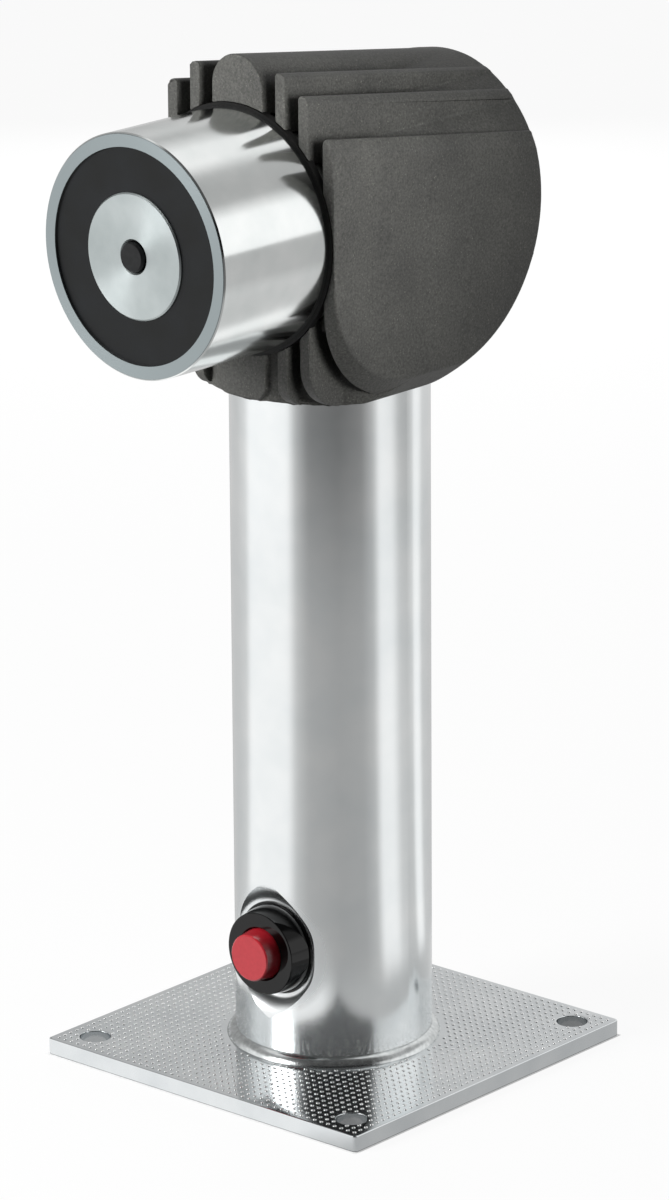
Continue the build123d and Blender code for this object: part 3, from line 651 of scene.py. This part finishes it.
DOT_PITCH = 2.5 * MM
DOTS_ALONG = 47
DOT_RADIUS = 0.56 * MM
DOT_RISE = 0.26 * MM
DOT_SIDES = 8
DOT_ROOT = 0.05 * MM
# Shares of the rise that the dome's wall, shoulder and crown take up, and how far the last two
# draw the top in
WALL_SHARE = 0.5
SHOULDER_SHARE = 0.35
CROWN_SHARE = 0.15
SHOULDER_DRAW = 0.68
CROWN_DRAW = 0.45


def clear_of_dots(centre):
    """True where the plate has no dots: round the bolt holes and under the weld."""
    corner = Vector((abs(centre.x) - BOLT_PLACE, abs(centre.y) - BOLT_PLACE))
    at_hole = corner.length < BOLT_HOLE + DOT_RADIUS
    under_weld = centre.xy.length < POST_RADIUS + WELD_LEG + DOT_RADIUS
    return at_hole or under_weld


def make_plate_dots():
    """One low dome is drawn in to a smaller top, repeated over the plate in rows, and removed
    where the bolt holes and the weld are."""
    first = -DOT_PITCH * (DOTS_ALONG - 1) / 2
    wall = DOT_RISE * WALL_SHARE
    bpy.ops.object.select_all(action="DESELECT")
    bpy.ops.mesh.primitive_cylinder_add(
        vertices=DOT_SIDES, radius=DOT_RADIUS, depth=wall + DOT_ROOT, end_fill_type="NGON",
        location=(first, first, PLATE_TOP + (wall - DOT_ROOT) / 2))
    dots = bpy.context.object
    dots.name = "plate_dots"
    bpy.ops.object.transform_apply(location=True, rotation=True, scale=True)
    bpy.ops.object.mode_set(mode="EDIT")
    bpy.ops.mesh.select_mode(type="FACE")
    pick(dots, lambda centre, normal: normal.z < -0.5)
    bpy.ops.mesh.delete(type="FACE")
    pick(dots, lambda centre, normal: normal.z > 0.5)
    for share, draw in ((SHOULDER_SHARE, SHOULDER_DRAW), (CROWN_SHARE, CROWN_DRAW)):
        bpy.ops.mesh.extrude_region_move(TRANSFORM_OT_translate={"value": (0, 0, DOT_RISE * share)})
        bpy.ops.transform.resize(value=(draw, draw, 1))
    bpy.ops.object.mode_set(mode="OBJECT")
    for step in ((DOT_PITCH, 0, 0), (0, DOT_PITCH, 0)):
        use_modifier(dots, "ARRAY", count=DOTS_ALONG, use_relative_offset=False,
                     use_constant_offset=True, constant_offset_displace=step)
    bpy.ops.object.mode_set(mode="EDIT")
    pick(dots, lambda centre, normal: clear_of_dots(centre))
    bpy.ops.mesh.select_linked()
    bpy.ops.mesh.delete(type="FACE")
    bpy.ops.mesh.select_all(action="SELECT")
    bpy.ops.mesh.normals_make_consistent(inside=False)
    bpy.ops.object.mode_set(mode="OBJECT")
    bpy.ops.object.shade_smooth()
    dots.data.materials.append(crest_finish)
    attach(dots, "post")


make_soft_edged("head_housing", "soft_edged_housing", "head", housing_finish, MOULD_EDGE)
make_soft_edged("base_plate", "soft_edged_plate", "post", plate_finish, PLATE_EDGE)
make_plate_dots()
make_closing_spring("button_spring", "closing_button_spring", "post")
make_closing_spring("pin_spring", "closing_pin_spring", "head")


# Floor, studio panels and lamps

# Brightness of the studio as metal mirrors it, by compass angle from -180 to 180 degrees.
# A wide white panel stands on the left and two narrow ones on the right, the back is grey.
# The floor shows a mid grey in front of the holder, and above it the room is dark.
NEAR_FLOOR = [
    (-180, 0.62), (-162, 0.7), (-152, 1.05), (-98, 1.02), (-88, 0.6), (-74, 0.45), (-40, 0.4),
    (-14, 0.42), (0, 0.54), (8, 1.0), (24, 1.0), (34, 0.68), (44, 0.6), (54, 0.62), (59, 1.05),
    (68, 1.05), (76, 0.66), (100, 0.6), (180, 0.62),
]
# Close round the plate the mirrored floor is darker from -44 to 60 degrees: a painted shadow of the holder
RIM_FLOOR_WITH_PAINTED_SHADOW = [(-180, 0.9), (-150, 1.0), (-60, 1.0), (-44, 0.5), (60, 0.52), (120, 0.8), (180, 0.9)]
FAR_FLOOR = [
    (-180, 0.62), (-162, 0.8), (-152, 1.12), (-98, 1.08), (-88, 0.5), (-74, 0.2), (-40, 0.13),
    (-14, 0.2), (0, 0.5), (8, 1.0), (24, 0.9), (34, 0.55), (44, 0.46), (54, 0.5), (60, 1.0), (70, 1.0),
    (80, 0.7), (180, 0.62),
]
ROOM_PANELS = [
    (-180, 0.4), (-162, 0.7), (-152, 1.05), (-100, 1.05), (-90, 0.2), (-80, 0.01), (-6, 0.01),
    (4, 0.9), (30, 1.1), (60, 1.1), (76, 0.75), (104, 0.8), (122, 0.85), (140, 0.38), (180, 0.4),
]
HIGH_PANELS = [
    (-180, 0.35), (-120, 0.4), (-90, 0.08), (0, 0.08), (30, 0.5), (60, 0.45), (74, 0.5), (88, 0.95),
    (108, 0.95), (124, 0.5), (140, 0.35), (180, 0.35),
]
TOP_PANELS = [(-180, 1.1), (-145, 1.0), (-120, 0.1), (20, 0.1), (50, 1.0), (180, 1.1)]
# Even glow on what isn't metal, the floor's own colour to other surfaces and to the camera,
# and the share of its white that glows
AMBIENT = 0.09
PAPER = 0.08
PAPER_SEEN = 0.95
GLOW_SEEN = 0.94
# Under the plate, where the bolt holes show it, the floor glows little: painted shade under the plate
FOOTPRINT = 60.4 * MM
SHADED_GLOW_UNDER_PLATE = 0.42
# Where one set of panels blends into the next: up the room as sines of the angle above the
# horizon, and out over the floor in metres
WALL_TO_HIGH = (0.38, 0.52)
HIGH_TO_TOP = (0.74, 0.82)
RIM_TO_NEAR = (0.1, 0.12)
NEAR_TO_FAR = (0.48, 0.7)
FLOOR_SIZE = 30.0


def studio_panels(tree, direction, panels):
    """The panels' brightness in the direction of a vector."""
    parts = add(tree, "ShaderNodeSeparateXYZ", {"Vector": direction})
    angle = add(tree, "ShaderNodeMath", {0: parts.outputs["Y"], 1: parts.outputs["X"]},
                operation="ARCTAN2").outputs[0]
    turn = add(tree, "ShaderNodeMapRange", {"Value": angle, "From Min": -pi, "From Max": pi}).outputs[0]
    return add(tree, "ShaderNodeValToRGB", {"Fac": turn},
               [((degrees + 180) / 360, grey(level)) for degrees, level in panels]).outputs["Color"]


def step_between(tree, value, ends):
    """0 below the first end, 1 above the second and a ramp between them."""
    start_value, end_value = ends
    return add(tree, "ShaderNodeMapRange",
               {"Value": value, "From Min": start_value, "From Max": end_value}).outputs[0]


def seen_in_metal(tree, path):
    """1 on rays that metal or glass sends on, and 0 on the rest."""
    return add(tree, "ShaderNodeMath",
               {0: path.outputs["Is Glossy Ray"], 1: path.outputs["Is Transmission Ray"]},
               operation="MAXIMUM").outputs[0]


def make_world():
    """White to the camera, soft panels to what metal mirrors, and an even glow on the rest."""
    world = bpy.data.worlds.new("soft_studio")
    bpy.context.scene.world = world
    world.use_nodes = True
    tree = world.node_tree
    tree.nodes.clear()
    direction = add(tree, "ShaderNodeTexCoord").outputs["Generated"]
    height = add(tree, "ShaderNodeSeparateXYZ", {"Vector": direction}).outputs["Z"]
    high = step_between(tree, height, WALL_TO_HIGH)
    top = step_between(tree, height, HIGH_TO_TOP)
    low_panels = studio_panels(tree, direction, ROOM_PANELS)
    high_panels = studio_panels(tree, direction, HIGH_PANELS)
    top_panels = studio_panels(tree, direction, TOP_PANELS)
    walls = add(tree, "ShaderNodeMix", {"Factor": high, "A": low_panels, "B": high_panels},
                data_type="RGBA").outputs["Result"]
    dome = add(tree, "ShaderNodeMix", {"Factor": top, "A": walls, "B": top_panels},
               data_type="RGBA").outputs["Result"]
    path = add(tree, "ShaderNodeLightPath")
    mirrored = seen_in_metal(tree, path)
    on_object = add(tree, "ShaderNodeMix", {"Factor": mirrored, "A": grey(AMBIENT), "B": dome},
                    data_type="RGBA").outputs["Result"]
    colour = add(tree, "ShaderNodeMix",
                 {"Factor": path.outputs["Is Camera Ray"], "A": on_object, "B": grey(1.0)},
                 data_type="RGBA").outputs["Result"]
    glow = add(tree, "ShaderNodeBackground", {"Color": colour, "Strength": 1.0})
    add(tree, "ShaderNodeOutputWorld", {"Surface": glow.outputs[0]})


def make_floor():
    """A pale floor that fills the view and keeps the holder's shadow."""
    bpy.ops.object.select_all(action="DESELECT")
    bpy.ops.mesh.primitive_plane_add(size=FLOOR_SIZE, location=(0, 0, 0))
    floor = bpy.context.object
    floor.name = "studio_floor"
    material, tree = start("pale_studio_floor")
    place = add(tree, "ShaderNodeTexCoord").outputs["Object"]
    distance = add(tree, "ShaderNodeVectorMath", {0: place}, operation="LENGTH").outputs["Value"]
    far = step_between(tree, distance, NEAR_TO_FAR)
    off_rim = step_between(tree, distance, RIM_TO_NEAR)
    rim_panels = studio_panels(tree, place, RIM_FLOOR_WITH_PAINTED_SHADOW)
    near_panels = studio_panels(tree, place, NEAR_FLOOR)
    far_panels = studio_panels(tree, place, FAR_FLOOR)
    close = add(tree, "ShaderNodeMix", {"Factor": off_rim, "A": rim_panels, "B": near_panels},
                data_type="RGBA").outputs["Result"]
    panels = add(tree, "ShaderNodeMix", {"Factor": far, "A": close, "B": far_panels},
                 data_type="RGBA").outputs["Result"]
    path = add(tree, "ShaderNodeLightPath")
    mirrored = seen_in_metal(tree, path)
    glow_colour = add(tree, "ShaderNodeMix", {"Factor": mirrored, "A": grey(1.0), "B": panels},
                      data_type="RGBA").outputs["Result"]
    glow = add(tree, "ShaderNodeEmission", {"Color": glow_colour, "Strength": 1.0}).outputs[0]
    paper_colour = add(tree, "ShaderNodeMix",
                       {"Factor": path.outputs["Is Camera Ray"], "A": grey(PAPER), "B": grey(PAPER_SEEN)},
                       data_type="RGBA").outputs["Result"]
    paper = add(tree, "ShaderNodeBsdfDiffuse", {"Color": paper_colour}).outputs[0]
    share = add(tree, "ShaderNodeMath", {0: path.outputs["Is Camera Ray"], 1: GLOW_SEEN},
                operation="MULTIPLY").outputs[0]
    full = add(tree, "ShaderNodeMath", {0: share, 1: mirrored}, operation="MAXIMUM").outputs[0]
    # Painted shade: under the plate's footprint the glow is cut to a share
    parts = add(tree, "ShaderNodeSeparateXYZ", {"Vector": place})
    across = add(tree, "ShaderNodeMath", {0: parts.outputs["X"]}, operation="ABSOLUTE").outputs[0]
    along = add(tree, "ShaderNodeMath", {0: parts.outputs["Y"]}, operation="ABSOLUTE").outputs[0]
    reach = add(tree, "ShaderNodeMath", {0: across, 1: along}, operation="MAXIMUM").outputs[0]
    outside = add(tree, "ShaderNodeMath", {0: reach, 1: FOOTPRINT}, operation="GREATER_THAN").outputs[0]
    shaded = add(tree, "ShaderNodeMapRange", {"Value": outside, "To Min": SHADED_GLOW_UNDER_PLATE}).outputs[0]
    glowing = add(tree, "ShaderNodeMath", {0: full, 1: shaded}, operation="MULTIPLY").outputs[0]
    mixed = add(tree, "ShaderNodeMixShader", {0: glowing, 1: paper, 2: glow})
    add(tree, "ShaderNodeOutputMaterial", {"Surface": mixed.outputs[0]})
    floor.data.materials.append(material)


def make_lamp(name, place, aim, side, power, spread, mirrored=False):
    """A soft square lamp that points at a spot, and shows in metal only where it is mirrored."""
    light = bpy.data.lights.new(name, "AREA")
    light.shape = "SQUARE"
    light.size = side
    light.energy = power
    light.spread = radians(spread)
    lamp = bpy.data.objects.new(name, light)
    lamp.location = place
    lamp.rotation_euler = (Vector(aim) - Vector(place)).to_track_quat("-Z", "Y").to_euler()
    lamp.visible_camera = False
    lamp.visible_glossy = mirrored
    bpy.context.scene.collection.objects.link(lamp)


make_world()
make_floor()
# The lamps give the plastics their light. Metals mirror the panels and the first lamp alone.
make_lamp("front_left_softbox", place=(-0.5, -1.3, 0.65), aim=(0, 0, 0.2),
          side=0.6, power=6.0, spread=180, mirrored=True)
make_lamp("left_fill", place=(-0.35, -0.7, 0.45), aim=(0, 0, 0.25), side=0.3, power=5.0, spread=140)
make_lamp("back_fill", place=(-0.8, 0.9, 0.3), aim=(0, 0, 0.25), side=0.4, power=5.0, spread=140)
make_lamp("near_right_softbox", place=(0.28, -0.1, 0.33), aim=(0.03, -0.05, 0.285),
          side=0.12, power=0.12, spread=50)

bpy.context.scene.view_settings.view_transform = "Standard"
